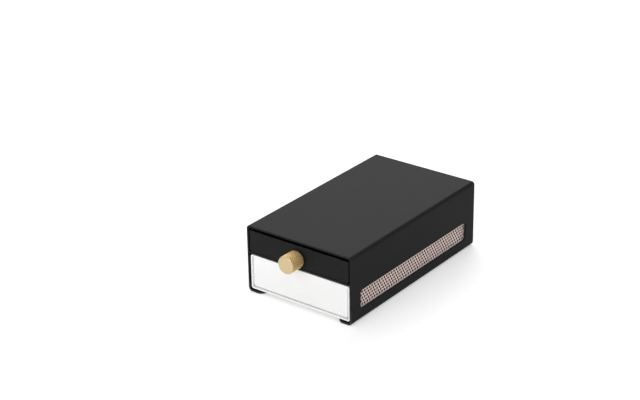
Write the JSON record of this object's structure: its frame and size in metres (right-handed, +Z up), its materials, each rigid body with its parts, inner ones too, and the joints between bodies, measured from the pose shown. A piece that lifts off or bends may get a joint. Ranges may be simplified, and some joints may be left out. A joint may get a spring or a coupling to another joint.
{
  "type": "matchbox holder",
  "caption": "Folded steel holder for a large matchbox, with striking windows in its walls and a shallow drawer with a knurled brass knob above the box.",
  "frame": {"origin": "on the floor under the middle of the whole object, knob included", "axes": "+X to the right seen from the front, +Y from the front to the back, +Z up; the drawer and the knob face -Y"},
  "size_m": [0.07, 0.1298, 0.04],
  "materials": {
    "powder_coat": "fine matt black powder coat on steel sheet",
    "knob_brass": "satin turned brass with a diamond knurl",
    "screw_steel": "zinc-plated",
    "cover_card": "white coated card",
    "striking_print": "dark red dots on a pale ground, rough",
    "tray_card": "plain white card",
    "match_wood": "plain aspen",
    "match_head": "matt dark red head"
  },
  "bodies": {
    "holder": {"sleeve": "powder_coat", "shelf": "powder_coat"},
    "drawer": {"drawer_tray": "powder_coat", "drawer_front": "powder_coat", "drawer_back": "powder_coat", "knob": "knob_brass", "knob_screw": "screw_steel"},
    "refill": {"box_cover": "cover_card", "striker_left": "striking_print", "striker_right": "striking_print"},
    "refill_tray": {"box_tray": "tray_card", "match_sticks": "match_wood", "match_heads": "match_head"}
  },
  "joints": [
    {"name": "drawer_slide", "type": "slide", "parent": "holder", "child": "drawer", "axis": [0, -1, 0], "range_m": [0, 0.095]},
    {"name": "refill_slide", "type": "slide", "parent": "holder", "child": "refill", "axis": [0, -1, 0], "range_m": [0, 0.1]},
    {"name": "tray_slide", "type": "slide", "parent": "refill", "child": "refill_tray", "axis": [0, -1, 0], "range_m": [0, 0.085]}
  ]
}
